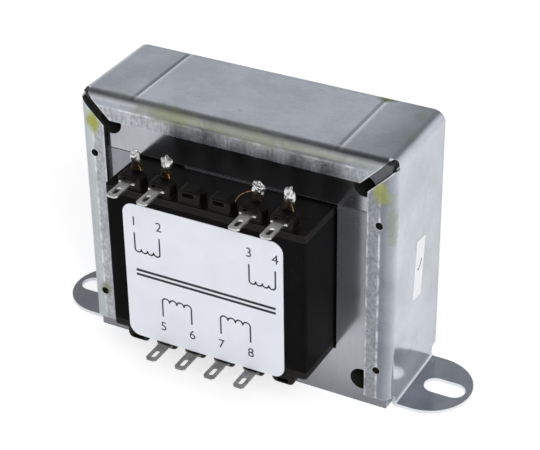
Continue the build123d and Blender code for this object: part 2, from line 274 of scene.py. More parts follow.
upperPlaces = [postOf(tag)[0] for tag in upperTags]
lowerPlaces = [postOf(f"secondary_tag_{number}")[0] for number in range(1, 5)]
upperPlaces[0] += printLook["cornerShift"]
upperPlaces[3] -= printLook["cornerShift"]
signRows = (
    (upperPlaces, labelHigh.z - printLook["numberInset"], labelHigh.z - printLook["coilInset"], -1),
    (lowerPlaces, labelLow.z + printLook["numberInset"], labelLow.z + printLook["coilInset"], 1),
)
strokes = []
for places, numberLevel, coilLevel, away in signRows:
    leadEnd = numberLevel + away * printLook["numberSize"] * printLook["leadGap"]
    for left, right in (places[:2], places[2:]):
        strokes.append(flatStroke(coilSign(left, right, coilLevel, away), printLook["stroke"]))
        strokes.append(flatStroke(((left, leadEnd), (left, coilLevel)), printLook["stroke"]))
        strokes.append(flatStroke(((right, leadEnd), (right, coilLevel)), printLook["stroke"]))
for side in (-1, 1):
    level = labelMiddle.z + side * printLook["coreGap"] / 2
    strokes.append(flatStroke(((upperPlaces[0], level), (upperPlaces[3], level)), printLook["coreStroke"]))
windingSign = buildPiece("winding_sign", strokes, smooth=False, solid=False)


def printedNumber(text, x, z):
    # a flat letter shape made a mesh, then turned upright to face the front
    letters = bpy.data.curves.new("number", "FONT")
    letters.body = text
    letters.size = printLook["numberSize"]
    letters.align_x = "CENTER"
    letters.align_y = "CENTER"
    holder = bpy.data.objects.new("number", letters)
    mesh = bpy.data.meshes.new_from_object(holder)
    mesh.transform(Matrix.Translation((x, inkPlane, z)) @ Matrix.Rotation(math.pi / 2, 4, "X"))
    bpy.data.objects.remove(holder)
    mesh.name = f"terminal_number_{text}"
    return placePiece(mesh)


numbers = []
for places, numberLevel, coilLevel, away in signRows:
    for x in places:
        numbers.append(printedNumber(str(len(numbers) + 1), x, numberLevel))

# a pen tick on the small side sticker
tickLook = dict(
    stroke=0.4 * mm, proud=0.03 * mm, steps=20,
    points=((-1.0, 0.2), (-0.3, -1.0), (1.2, 2.2)),  # across and up from the sticker's middle, in mm
)
stickerLow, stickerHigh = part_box("side_sticker")
stickerMiddle = (stickerLow + stickerHigh) / 2


def sideStroke(points, width):
    # the same band as on the label, with y across and z up, just proud of the sticker
    middle = np.array((stickerMiddle.y, stickerMiddle.z))
    sides = bandAlong(bezier(points, tickLook["steps"]) * mm + middle, width)
    x = np.full(sides.shape[:2], stickerHigh.x + tickLook["proud"])
    return gridFaces(np.stack((x, sides[..., 0], sides[..., 1]), axis=-1))


tickSurface = sideStroke(tickLook["points"], tickLook["stroke"])
penTick = buildPiece("pen_tick", [tickSurface], smooth=False, solid=False)
print("print done")


# shader helpers
def fill(tree, made, values):
    # values go to a node's sockets by name or number, as a link or as a constant
    for name, value in values.items():
        if isinstance(value, bpy.types.NodeSocket):
            tree.links.new(value, made.inputs[name])
        else:
            made.inputs[name].default_value = value


def put(tree, kind, values=None, **settings):
    # one node: settings are its own switches, values go to its sockets
    made = tree.nodes.new("ShaderNode" + kind)
    for name, value in settings.items():
        setattr(made, name, value)
    fill(tree, made, values or {})
    return made


def calc(tree, operation, first, second=0.5):
    return put(tree, "Math", {0: first, 1: second}, operation=operation).outputs[0]


def both(tree, *masks):
    # product of masks and plain factors
    result = masks[0]
    for mask in masks[1:]:
        result = calc(tree, "MULTIPLY", result, mask)
    return result


def inverse(tree, mask):
    return calc(tree, "SUBTRACT", 1.0, mask)


def distance(tree, value, place):
    # how far a value lies from a place, either way
    return calc(tree, "ABSOLUTE", calc(tree, "SUBTRACT", value, place))


def either(tree, *masks):
    # the largest of masks
    result = masks[0]
    for mask in masks[1:]:
        result = calc(tree, "MAXIMUM", result, mask)
    return result


def weighted(tree, *pairs):
    # sum of values, each times its weight
    result = calc(tree, "MULTIPLY", *pairs[0])
    for value, weight in pairs[1:]:
        result = calc(tree, "ADD", result, calc(tree, "MULTIPLY", value, weight))
    return result


def remap(tree, value, low, high):
    # smooth step from low to high
    return put(tree, "MapRange", {0: value, 1: low, 2: high}, interpolation_type="SMOOTHSTEP").outputs[0]


def spread(tree, value, middle, swing):
    # a noise value around a half becomes one around middle
    return calc(tree, "ADD", calc(tree, "MULTIPLY", calc(tree, "SUBTRACT", value, 0.5), swing), middle)


def blend(tree, amount, first, second, mode="MIX"):
    made = put(tree, "Mix", {0: amount, 6: first, 7: second}, data_type="RGBA", blend_type=mode)
    return made.outputs[2]


def mixValue(tree, amount, first, second):
    return put(tree, "Mix", {0: amount, 2: first, 3: second}, data_type="FLOAT").outputs[0]


def startGroup(name, inputs, outputs):
    # every group starts from a place on the surface
    group = bpy.data.node_groups.new(name, "ShaderNodeTree")
    for label, kind, value in [("Place", "Vector", (0, 0, 0))] + inputs:
        socket = group.interface.new_socket(label, in_out="INPUT", socket_type="NodeSocket" + kind)
        socket.default_value = value
    for label, kind in outputs:
        group.interface.new_socket(label, in_out="OUTPUT", socket_type="NodeSocket" + kind)
    return group, group.nodes.new("NodeGroupInput").outputs, group.nodes.new("NodeGroupOutput").inputs


def useGroup(tree, group, values):
    made = tree.nodes.new("ShaderNodeGroup")
    made.node_tree = group
    fill(tree, made, values)
    return made.outputs


noiseLook = dict(
    cloud={"Detail": 4.0, "Roughness": 0.55}, grain={"Detail": 3.0, "Roughness": 0.6},
    gaps={"Detail": 2.0}, gapSpan=(0.3, 0.62),  # in rubbed edges
    border={"Detail": 4.0}, fadeSpan=(1.0, 0.35),  # of a blot, counted in its half sizes
    dust={"Detail": 3.0}, dustScale=90.0, dustSpan=(0.5, 0.7),
)


def noiseAt(tree, place, scale, kind):
    return put(tree, "TexNoise", {"Vector": place, "Scale": scale, **noiseLook[kind]}).outputs[0]


def lengthOf(tree, vector):
    return put(tree, "VectorMath", {0: vector}, operation="LENGTH").outputs["Value"]


def makeGrainGroup():
    # cloudy patches and stretched fine grain from the same place on the surface
    group, given, result = startGroup("surfaceGrain", [
        ("Cloud Scale", "Float", 60.0), ("Grain Scale", "Float", 900.0), ("Stretch", "Vector", (1, 1, 1)),
    ], [("Cloud", "Float"), ("Grain", "Float")])
    cloud = noiseAt(group, given["Place"], given["Cloud Scale"], "cloud")
    stretched = put(group, "VectorMath", {0: given["Place"], 1: given["Stretch"]}, operation="MULTIPLY")
    grain = noiseAt(group, stretched.outputs[0], given["Grain Scale"], "grain")
    group.links.new(cloud, result["Cloud"])
    group.links.new(grain, result["Grain"])
    return group


def makeEdgeGroup():
    # how far the rounded normal turns away from the true one shows where an edge is; noise breaks it up
    group, given, result = startGroup("edgeRub", [
        ("Reach", "Float", 0.0003), ("Break Scale", "Float", 700.0), ("Gain", "Float", 4.0),
    ], [("Edge", "Float")])
    rounded = put(group, "Bevel", {"Radius": given["Reach"]}, samples=4).outputs[0]
    true = put(group, "NewGeometry").outputs["Normal"]
    aligned = put(group, "VectorMath", {0: rounded, 1: true}, operation="DOT_PRODUCT").outputs["Value"]
    noise = noiseAt(group, given["Place"], given["Break Scale"], "gaps")
    gaps = remap(group, noise, *noiseLook["gapSpan"])
    broken = both(group, inverse(group, aligned), given["Gain"], gaps)
    group.links.new(calc(group, "MINIMUM", broken, 1.0), result["Edge"])
    return group


def makeBlotGroup():
    # an uneven blot: distance from its centre, counted in its half sizes, with noise on the border
    group, given, result = startGroup("blot", [
        ("Centre", "Vector", (0, 0, 0)), ("Half Size", "Vector", (0.01, 0.01, 0.01)),
        ("Noise Scale", "Float", 250.0), ("Raggedness", "Float", 0.8),
    ], [("Mask", "Float")])
    offset = put(group, "VectorMath", {0: given["Place"], 1: given["Centre"]}, operation="SUBTRACT")
    scaled = put(group, "VectorMath", {0: offset.outputs[0], 1: given["Half Size"]}, operation="DIVIDE")
    away = lengthOf(group, scaled.outputs[0])
    noise = noiseAt(group, given["Place"], given["Noise Scale"], "border")
    ragged = both(group, calc(group, "SUBTRACT", noise, 0.5), given["Raggedness"])
    mask = remap(group, calc(group, "ADD", away, ragged), *noiseLook["fadeSpan"])
    group.links.new(mask, result["Mask"])
    return group


def makeSpotGroup():
    # four round spots seen from the front, alike left and right and at two levels
    group, given, result = startGroup("fourSpots", [
        ("Side", "Float", 0.03), ("Level", "Float", 0.03), ("Rise", "Float", 0.02),
        ("Radius", "Float", 0.002), ("Blur", "Float", 0.0003),
    ], [("Mask", "Float")])
    parts = put(group, "SeparateXYZ", {0: given["Place"]}).outputs
    across = calc(group, "SUBTRACT", calc(group, "ABSOLUTE", parts[0]), given["Side"])
    height = calc(group, "SUBTRACT", distance(group, parts[2], given["Level"]), given["Rise"])
    away = lengthOf(group, put(group, "CombineXYZ", {0: across, 1: height}).outputs[0])
    outer = calc(group, "ADD", given["Radius"], given["Blur"])
    group.links.new(remap(group, away, outer, given["Radius"]), result["Mask"])
    return group


def makeDustGroup():
    # scattered specks: the middles of random cells, thinned out by a cloudy noise
    group, given, result = startGroup("dustSpecks", [
        ("Scale", "Float", 500.0), ("Size", "Float", 0.12),
    ], [("Mask", "Float")])
    cells = put(group, "TexVoronoi", {"Vector": given["Place"], "Scale": given["Scale"]})
    speck = calc(group, "LESS_THAN", cells.outputs["Distance"], given["Size"])
    cloud = noiseAt(group, given["Place"], noiseLook["dustScale"], "dust")
    mask = both(group, speck, remap(group, cloud, *noiseLook["dustSpan"]))
    group.links.new(mask, result["Mask"])
    return group


grainGroup = makeGrainGroup()
edgeGroup = makeEdgeGroup()
blotGroup = makeBlotGroup()
spotGroup = makeSpotGroup()
dustGroup = makeDustGroup()


def grainOf(tree, place, texture):
    # texture holds the scales of cloud and grain and the stretch of the grain
    cloud, grain, stretch = texture
    return useGroup(tree, grainGroup, {
        "Place": place, "Cloud Scale": cloud, "Grain Scale": grain, "Stretch": stretch,
    })


def edgeOf(tree, place, rub):
    # rub holds the reach in from the edge, the scale of the gaps and the gain
    reach, breakScale, gain = rub
    return useGroup(tree, edgeGroup, {
        "Place": place, "Reach": reach, "Break Scale": breakScale, "Gain": gain,
    })["Edge"]


def dustOf(tree, place, specks):
    # specks holds their scale, and their size as a share of a cell
    scale, size = specks
    return useGroup(tree, dustGroup, {"Place": place, "Scale": scale, "Size": size})["Mask"]


def spotsOf(tree, place, holes, spot):
    # spot holds the radius and the blur
    radius, blur = spot
    return useGroup(tree, spotGroup, {"Place": place, **holes, "Radius": radius, "Blur": blur})["Mask"]


def startMaterial(name, shaderValues):
    # an empty material with one Principled shader; hands back the tree, the shader and object coordinates
    material = bpy.data.materials.new(name)
    material.use_nodes = True
    tree = material.node_tree
    tree.nodes.clear()
    shader = put(tree, "BsdfPrincipled", shaderValues)
    output = put(tree, "OutputMaterial")
    tree.links.new(shader.outputs[0], output.inputs[0])
    place = put(tree, "TexCoord").outputs["Object"]
    return material, tree, shader, place


def fillShader(tree, shader, look, colour, rough, height, metal=None):
    # the sockets that every material fills
    bump = put(tree, "Bump", {"Strength": look["bump"], "Distance": look["bumpDepth"], "Height": height})
    tree.links.new(colour, shader.inputs["Base Color"])
    tree.links.new(rough, shader.inputs["Roughness"])
    tree.links.new(bump.outputs[0], shader.inputs["Normal"])
    if metal is not None:
        tree.links.new(metal, shader.inputs["Metallic"])


def normalParts(tree):
    # size of the surface normal along each axis
    normal = put(tree, "SeparateXYZ", {0: put(tree, "NewGeometry").outputs["Normal"]})
    return [calc(tree, "ABSOLUTE", socket) for socket in normal.outputs]


print("shader groups done")

# ranges of values that several materials use
cloudSpan = (0.3, 0.7)  # where most of a cloudy noise lies
faceSpan = (0.75, 0.95)  # part of the normal along an axis, from a sloping face to one that is square to it
squareSpan = (0.8, 0.95)

# places on the frame and core that the materials go by
frameLow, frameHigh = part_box("channel_frame")
coreLow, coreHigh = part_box("e_laminations")
coreMiddle = (coreLow + coreHigh) / 2
module = 14 * mm  # of the laminations
webOuter = coreHigh.x + 1.4 * mm  # outside of the frame's side webs
flangeReach = 7.0 * mm  # from there to the free edge of a side flange
slotHalf = 1.3 * mm  # half the width of the front mitre slots
slotEnd = coreLow.y + 0.35 * mm  # where their round ends begin
grooveAt = coreHigh.x * 2 / 3
cornerHoles = dict(Side=coreHigh.x - module / 2, Level=coreMiddle.z, Rise=2 * module)
stakeHoles = dict(Side=webOuter - 3.8 * mm, Level=coreMiddle.z - 2 * mm, Rise=1.5 * module)

# zinc plated sheet of the frame
zincLook = dict(
    dark=(0.515, 0.55, 0.60, 1), light=(0.64, 0.675, 0.735, 1),
    streakDark=(0.40, 0.415, 0.445, 1), streakLight=(0.69, 0.705, 0.73, 1),  # fine streaks on the flanges
    # bareAndHighlight is rubbed bare metal and also the colour of the painted highlights
    stain=(0.22, 0.24, 0.13, 1), varnish=(0.36, 0.38, 0.06, 1), bareAndHighlight=(0.88, 0.89, 0.92, 1),
    edgeAndHoleShade=(0.02, 0.022, 0.02, 1),  # painted shade on the free edges of the side flanges and on the walls of mitre slots and stake holes
    # tints that multiply those: painted shade, except the two ends of the top, which are only darker
    leftEnd=(0.86, 0.87, 0.89, 1),  # the top beyond the left groove
    rightStart=(0.86, 0.87, 0.885, 1), rightEnd=(0.48, 0.50, 0.51, 1),  # fading beyond the right one
    grooveShade=(0.74, 0.745, 0.76, 1),
    topFold=(0.66, 0.67, 0.685, 1), leftFold=(0.90, 0.925, 0.86, 1), rightFold=(0.39, 0.40, 0.415, 1),
    flange=(0.77, 0.785, 0.795, 1), rightFlange=(0.54, 0.555, 0.57, 1),
    leftFoot=(0.46, 0.47, 0.475, 1), rightFoot=(0.66, 0.665, 0.675, 1),
    rearWeb=(0.86, 0.865, 0.87, 1),  # painted shade towards the back of the side webs
    # scales of cloud and grain and stretch of the grain, and the weights of the textures that make a tone
    sheet=(75.0, 900.0, (0.22, 1, 1)), streaks=(260.0, 1700.0, (1, 1, 0.14)),
    grit=(330.0, 1500.0, (1, 1, 0.6)), spangle=1100.0,
    sheetMix=(0.78, 0.16, 0.06), topMix=(0.66, 0.20, 0.14), sideMix=(0.70, 0.30),
    sheetSpan=(0.36, 0.64), flangeSpan=(0.33, 0.67), wornSpan=(0.34, 0.64),
    edgeRub=(0.35 * mm, 500.0, 5.0), pits=(330.0, 0.13), blotNoise=320.0, blotRagged=1.1,
    # places and widths of zones and lines
    foldTop=3.4 * mm, foldSide=3.75 * mm,  # from the frame's outside to the line where the flat flange begins
    flatStart=(-0.1 * mm, 0.15 * mm), sideFold=(-3.9 * mm, -0.8 * mm),  # from that line
    upperHalf=30 * mm, lowZone=(8 * mm, 17 * mm),  # heights
    frontZone=1.4 * mm, outward=(1.5 * mm, -0.4 * mm),  # behind the front of the core, and around the folds
    footStart=0.03 * mm, edgeStart=0.2 * mm,
    leftWallShade=(-0.35 * mm, 0.8 * mm, 0.3 * mm), rightWallHighlight=(0.7 * mm, 0.9 * mm, 0.2 * mm),  # of the grooves: painted shade on the left wall, painted highlight on the right
    # painted highlights along the crease behind the folds, along the free edges of the side flanges and round
    # the slot rims
    creaseHighlight=(0.42 * mm, 0.10 * mm), freeEdgeHighlight=(0.6 * mm, 0.2 * mm), slotRimHighlight=(0.36 * mm, 0.12 * mm),
    bandTop=(0.45 * mm, 0.9 * mm), bandFoot=(2.3 * mm, 1.3 * mm),  # painted highlight: a bright band on the top fold
    slotWall=0.05 * mm, stake=(1.05 * mm, 0.1 * mm),
    # strengths
    rubAndHighlight=0.75, creaseHighlightStrength=0.9, bandHighlightStrength=0.7, freeEdgeHighlightStrength=0.7, grooveHighlightStrength=0.5, pitting=0.4, shadedEdges=0.95, dulling=0.5,
    metallic=0.95, metallicSide=0.76, metallicLow=0.60,  # low down the side webs mirror the feet less
    roughSide=0.14, roughFlange=0.28, roughTop=0.26, roughFoot=0.15, roughSwing=0.10,
    cloudBump=0.5, streakBump=0.14, bump=0.12, bumpDepth=0.4 * mm,
)
# centre and half size in mm, colour and strength of the varnish marks
foldY = frameLow.y / mm + 0.5  # lower half of the front fold
foldZ = frameHigh.z / mm - 1.9
topZ = frameHigh.z / mm
sideX = coreHigh.x / mm
varnishMarks = (
    ((-17, foldY, foldZ), (15, 4.4, 2.9), "stain", 0.66),
    ((-14, foldY, foldZ + 0.6), (8, 3.4, 2.3), "varnish", 0.22),
    ((5, foldY, foldZ), (16, 4.0, 2.8), "stain", 0.66),
    ((22, foldY, foldZ), (12, 2.5, 2.0), "stain", 0.55),
    ((35, foldY, foldZ), (7, 2.0, 1.6), "stain", 0.35),
    ((-32, foldY + 1.6, topZ), (6, 1.3, 0.9), "stain", 0.40),
    ((-sideX + 2.4, foldY, 63.4), (2.6, 2.6, 4.8), "varnish", 0.95),
    ((sideX - 2.2, foldY, 63.6), (2.7, 2.6, 3.8), "varnish", 0.80),
    ((sideX - 2.2, foldY, 62.4), (2.4, 2.6, 3.6), "stain", 0.45),
    ((sideX + 0.4, foldY + 1.0, 55), (1.6, 2.6, 10), "stain", 0.50),
    ((-sideX + 2.6, foldY, 12.5), (2.4, 2.6, 3.0), "stain", 0.75),
    ((grooveAt / mm, frameHigh.y / mm - 1.4, topZ), (3.0, 2.2, 1.8), "stain", 0.95),
    ((sideX - 3, frameHigh.y / mm - 6, topZ), (2.2, 3.0, 1.0), "stain", 0.40),
    ((sideX - 1, -1.0, topZ), (2.6, 2.4, 1.2), "stain", 0.40),
)


def fromDiagonal(tree, x, z):
    # how far a place lies from the diagonals through the frame's upper corners, seen from the front
    level = calc(tree, "SUBTRACT", z, frameHigh.z - webOuter)
    return both(tree, distance(tree, calc(tree, "ABSOLUTE", x), level), math.sqrt(0.5))


def fromMitreSlot(tree, x, y, z):
    # how far a place lies from the middle of a front mitre slot, whose inner end is round
    beyond = calc(tree, "MAXIMUM", calc(tree, "SUBTRACT", y, slotEnd), 0.0)
    offset = put(tree, "CombineXYZ", {0: fromDiagonal(tree, x, z), 1: beyond}).outputs[0]
    return lengthOf(tree, offset)


def grooveWall(tree, fromGroove, wall):
    # wall holds its place beside the middle of the groove, and where it fades in and is full
    place, outer, inner = wall
    return remap(tree, distance(tree, fromGroove, place), outer, inner)


def makeZinc():
    look = zincLook
    material, tree, shader, place = startMaterial("zincSheet", {})
    across, along, up = normalParts(tree)
    x, y, z = put(tree, "SeparateXYZ", {0: place}).outputs
    flange, flat, web = [remap(tree, part, *faceSpan) for part in (along, up, across)]
    squareSide = remap(tree, across, *squareSpan)
    high = calc(tree, "GREATER_THAN", z, look["upperHalf"])
    right = calc(tree, "GREATER_THAN", x, 0.0)
    side = calc(tree, "ABSOLUTE", x)
    top = both(tree, flat, high)
    sheet, streak, grit = [grainOf(tree, place, look[name]) for name in ("sheet", "streaks", "grit")]
    cells = put(tree, "TexVoronoi", {"Vector": place, "Scale": look["spangle"]})
    spangle = put(tree, "SeparateColor", {0: cells.outputs["Color"]}).outputs[0]
    sheetTone = weighted(tree, *zip((sheet["Cloud"], sheet["Grain"], spangle), look["sheetMix"]))
    colour = blend(tree, remap(tree, sheetTone, *look["sheetSpan"]), look["dark"], look["light"])
    # the flat part of the flanges begins behind the fold with a painted highlight line; it is streaked along
    # the top and gritty down the sides
    fromTop = calc(tree, "SUBTRACT", frameHigh.z - look["foldTop"], z)
    fromSide = calc(tree, "SUBTRACT", webOuter - look["foldSide"], side)
    inset = calc(tree, "MINIMUM", fromTop, fromSide)
    sideZone = calc(tree, "GREATER_THAN", fromTop, fromSide)
    topTone = weighted(tree, *zip((streak["Grain"], streak["Cloud"], spangle), look["topMix"]))
    sideTone = weighted(tree, *zip((grit["Grain"], grit["Cloud"]), look["sideMix"]))
    flangeTone = remap(tree, mixValue(tree, sideZone, topTone, sideTone), *look["flangeSpan"])
    flatFlange = both(tree, flange, remap(tree, inset, *look["flatStart"]))
    colour = blend(tree, flatFlange, colour, blend(tree, flangeTone, look["streakDark"], look["streakLight"]))
    # darker: the ends of the top; painted shade on the grooves, the feet, the folds and flanges, the back of
    # the webs
    fading = blend(tree, remap(tree, x, grooveAt, webOuter), look["rightStart"], look["rightEnd"])
    topEnd = both(tree, calc(tree, "GREATER_THAN", side, grooveAt), top)
    colour = blend(tree, topEnd, colour, blend(tree, right, look["leftEnd"], fading), "MULTIPLY")
    fromGroove = calc(tree, "SUBTRACT", x, both(tree, calc(tree, "SIGN", x), grooveAt))
    leftWallShade, rightWallHighlight = [grooveWall(tree, fromGroove, look[name]) for name in ("leftWallShade", "rightWallHighlight")]
    colour = blend(tree, both(tree, leftWallShade, top), colour, look["grooveShade"], "MULTIPLY")
    # painted shade on the flat of the feet, more on the left foot
    foot = both(tree, calc(tree, "GREATER_THAN", side, webOuter + look["footStart"]), inverse(tree, high))
    footShade = blend(tree, right, look["leftFoot"], look["rightFoot"])
    colour = blend(tree, both(tree, foot, flat), colour, footShade, "MULTIPLY")
    # painted shade on the folds and flat flanges at front and back, more on the right, least on the left fold
    inner, outer = look["outward"]
    outward = remap(tree, calc(tree, "ABSOLUTE", y), -coreLow.y - inner, -frameLow.y + outer)
    sideFold = both(tree, sideZone, remap(tree, fromSide, *look["sideFold"]))
    sideShade = blend(tree, right, look["leftFold"], look["rightFold"])
    foldShade = blend(tree, sideFold, look["topFold"], sideShade)
    flangeShade = blend(tree, both(tree, sideZone, right), look["flange"], look["rightFlange"])
    colour = blend(tree, outward, colour, blend(tree, flatFlange, foldShade, flangeShade), "MULTIPLY")
    # painted shade towards the back of the side webs
    rear = both(tree, web, remap(tree, y, coreLow.y / 2, coreHigh.y))
    colour = blend(tree, rear, colour, look["rearWeb"], "MULTIPLY")
    # lighter: rubbed edges as wear, and painted highlights behind the front folds, in a band on the top one,
    # on the free edges of the side flanges, the rims of the front mitre slots and of the feet, and the right
    # walls of the grooves
    nearFront = calc(tree, "LESS_THAN", y, coreLow.y + look["frontZone"])
    worn = remap(tree, grit["Cloud"], *look["wornSpan"])
    creaseHighlight = remap(tree, calc(tree, "ABSOLUTE", inset), *look["creaseHighlight"])
    drop = calc(tree, "SUBTRACT", frameHigh.z, z)
    highlightBand = both(tree, remap(tree, drop, *look["bandTop"]), remap(tree, drop, *look["bandFoot"]))
    freeEdgeHighlight = remap(tree, distance(tree, side, webOuter - flangeReach), *look["freeEdgeHighlight"])
    fromSlot = fromMitreSlot(tree, x, y, z)
    rubAndHighlight = either(
        tree, edgeOf(tree, place, look["edgeRub"]),
        both(tree, creaseHighlight, flange, nearFront, worn, look["creaseHighlightStrength"]),
        both(tree, highlightBand, nearFront, inverse(tree, sideZone), look["bandHighlightStrength"]),
        both(tree, freeEdgeHighlight, flange, sideZone, worn, look["freeEdgeHighlightStrength"]),
        remap(tree, fromSlot, *[slotHalf + width for width in look["slotRimHighlight"]]),
        # painted highlight on the rims of the feet and their bends
        both(tree, foot, inverse(tree, flat)),
        both(tree, rightWallHighlight, top, look["grooveHighlightStrength"]),
    )
    colour = blend(tree, both(tree, rubAndHighlight, look["rubAndHighlight"]), colour, look["bareAndHighlight"])
    # pits and varnish marks
    pitted = both(tree, dustOf(tree, place, look["pits"]), look["pitting"])
    colour = blend(tree, pitted, colour, look["stain"])
    stained = []
    for centre, half, kind, strength in varnishMarks:
        mask = useGroup(tree, blotGroup, {
            "Place": place, "Centre": Vector(centre) * mm, "Half Size": Vector(half) * mm,
            "Noise Scale": look["blotNoise"], "Raggedness": look["blotRagged"],
        })["Mask"]
        stained.append(both(tree, mask, strength))
        colour = blend(tree, stained[-1], colour, look[kind])
    # painted shade, near black: free edges of the side flanges, walls of the stake holes and of the front
    # mitre slots
    atEdge = calc(tree, "LESS_THAN", side, webOuter - flangeReach + look["edgeStart"])
    stakeWall = both(tree, spotsOf(tree, place, stakeHoles, look["stake"]), inverse(tree, flange))
    inSlot = calc(tree, "LESS_THAN", fromSlot, slotHalf + look["slotWall"])
    shadedEdges = either(tree, both(tree, squareSide, atEdge), stakeWall, inSlot)
    colour = blend(tree, both(tree, shadedEdges, look["shadedEdges"]), colour, look["edgeAndHoleShade"])
    rough = mixValue(tree, flange, look["roughSide"], look["roughFlange"])
    rough = mixValue(tree, flat, rough, mixValue(tree, high, look["roughFoot"], look["roughTop"]))
    rough = spread(tree, sheet["Grain"], rough, look["roughSwing"])
    streakHeight = both(tree, streak["Grain"], flatFlange)
    height = weighted(tree, (sheet["Cloud"], look["cloudBump"]), (streakHeight, look["streakBump"]))
    sideMetal = mixValue(tree, remap(tree, z, *look["lowZone"]), look["metallicLow"], look["metallicSide"])
    metal = mixValue(tree, squareSide, look["metallic"], sideMetal)
    metal = both(tree, inverse(tree, both(tree, either(tree, shadedEdges, *stained), look["dulling"])), metal)
    fillShader(tree, shader, look, colour, rough, height, metal)
    return material


# bare rolled steel of the laminations
coreLook = dict(
    dark=(0.405, 0.415, 0.445, 1), light=(0.48, 0.49, 0.515, 1), seam=(0.04, 0.04, 0.045, 1),
    lowShade=(0.55, 0.555, 0.57, 1),  # towards the lower edge of the faces
    jointShade=(0.64, 0.645, 0.665, 1), shadeSpan=(1.2, 2.4),  # below the front joint, in modules
    rightSlotTone=(0.085, 0.088, 0.095, 1),  # lighter varnish and painted shade under the right mitre slot
    varnish=(0.012, 0.016, 0.008, 1),  # varnish at the stake holes, painted shade in the corner holes, and varnish with painted shade under the mitre slots
    texture=(90.0, 1200.0, (1, 1, 0.1)), mix=(0.7, 0.3),
    lamination=0.5 * mm, slit=(0.09, 0.02), slitDepth=0.75,  # fading of the gaps between sheets, in sheets
    joint=(0.18 * mm, 0.1 * mm), slotSpan=(1.5, 1.2),  # fading of the joint, and of the varnish and painted shade in half slots
    stake=(1.2 * mm, 0.4 * mm), hole=(2.92 * mm, 0.1 * mm),  # radius and blur of the varnish at the stake holes and of the painted shade in the corner holes
    varnishAndShadeStrength=0.95, varnishAndShadeDull=0.7,
    metallicUpper=0.985, metallicLower=0.76,  # above and below the joint
    rough=0.15, roughEdge=0.45, roughSwing=0.08, bump=0.08, bumpDepth=0.2 * mm,
)


def makeCore():
    look = coreLook
    material, tree, shader, place = startMaterial("coreSteel", {})
    x, y, z = put(tree, "SeparateXYZ", {0: place}).outputs
    face = remap(tree, normalParts(tree)[1], *squareSpan)
    grain = grainOf(tree, place, look["texture"])
    tone = weighted(tree, *zip((grain["Cloud"], grain["Grain"]), look["mix"]))
    colour = blend(tree, remap(tree, tone, *cloudSpan), look["dark"], look["light"])
    low = both(tree, remap(tree, z, coreLow.z + module, coreLow.z), face)
    colour = blend(tree, low, colour, look["lowShade"], "MULTIPLY")
    # joint between E and I pieces: four modules up at the front, one module up at the back
    front = calc(tree, "LESS_THAN", y, 0.0)
    level = calc(tree, "ADD", both(tree, front, 3 * module), coreLow.z + module)
    lower = both(tree, front, calc(tree, "LESS_THAN", z, level))
    shaded = remap(tree, z, *[coreLow.z + modules * module for modules in look["shadeSpan"]])
    colour = blend(tree, both(tree, shaded, lower, face), colour, look["jointShade"], "MULTIPLY")
    seam = both(tree, remap(tree, distance(tree, z, level), *look["joint"]), face)
    # edges of the single sheets show wherever the core is seen from the side
    wave = calc(tree, "PINGPONG", calc(tree, "DIVIDE", y, look["lamination"]), 0.5)
    slit = both(tree, remap(tree, wave, *look["slit"]), inverse(tree, face))
    lines = either(tree, seam, both(tree, slit, look["slitDepth"]))
    colour = blend(tree, lines, colour, look["seam"])
    # dark varnish behind the stake holes, painted shade in the corner holes, and varnish with painted shade
    # along the mitre slots at the front
    stake = spotsOf(tree, place, stakeHoles, look["stake"])
    cornerHoleShade = spotsOf(tree, place, cornerHoles, look["hole"])
    underFlange = calc(tree, "GREATER_THAN", calc(tree, "ABSOLUTE", x), webOuter - flangeReach)
    slot = remap(tree, fromDiagonal(tree, x, z), *[halves * slotHalf for halves in look["slotSpan"]])
    slot = both(tree, slot, underFlange, front)
    varnishAndShade = either(tree, both(tree, stake, front), cornerHoleShade, slot)
    rightSlot = both(tree, slot, calc(tree, "GREATER_THAN", x, 0.0), inverse(tree, cornerHoleShade))
    varnish = blend(tree, rightSlot, look["varnish"], look["rightSlotTone"])
    colour = blend(tree, both(tree, varnishAndShade, look["varnishAndShadeStrength"]), colour, varnish)
    faceRough = spread(tree, grain["Cloud"], look["rough"], look["roughSwing"])
    rough = mixValue(tree, face, look["roughEdge"], faceRough)
    bright = inverse(tree, either(tree, lines, both(tree, varnishAndShade, look["varnishAndShadeDull"])))
    metal = both(tree, bright, mixValue(tree, lower, look["metallicUpper"], look["metallicLower"]))
    height = calc(tree, "SUBTRACT", grain["Cloud"], lines)
    fillShader(tree, shader, look, colour, rough, height, metal)
    return material


def makePlain(name, look):
    # a cloudy colour between dark and light, with the worn colour along the edges, which on the black
    # mouldings adds a painted highlight and on the label film painted shade, and specks of dust where the
    # look has any
    material, tree, shader, place = startMaterial(name, look["shader"])
    grain = grainOf(tree, place, look["texture"])
    colour = blend(tree, remap(tree, grain["Cloud"], *cloudSpan), look["dark"], look["light"])
    colour = blend(tree, both(tree, edgeOf(tree, place, look["edgeRub"]), look["wear"]), colour, look["worn"])
    if "specks" in look:
        dusty = both(tree, dustOf(tree, place, look["specks"]), look["dusting"])
        colour = blend(tree, dusty, colour, look.get("dust", look["worn"]))
    rough = spread(tree, grain[look["roughBy"]], look["rough"], look["roughSwing"])
    height = weighted(tree, (grain["Cloud"], look["cloudBump"]), (grain["Grain"], look["grainBump"]))
    fillShader(tree, shader, look, colour, rough, height)
    return material


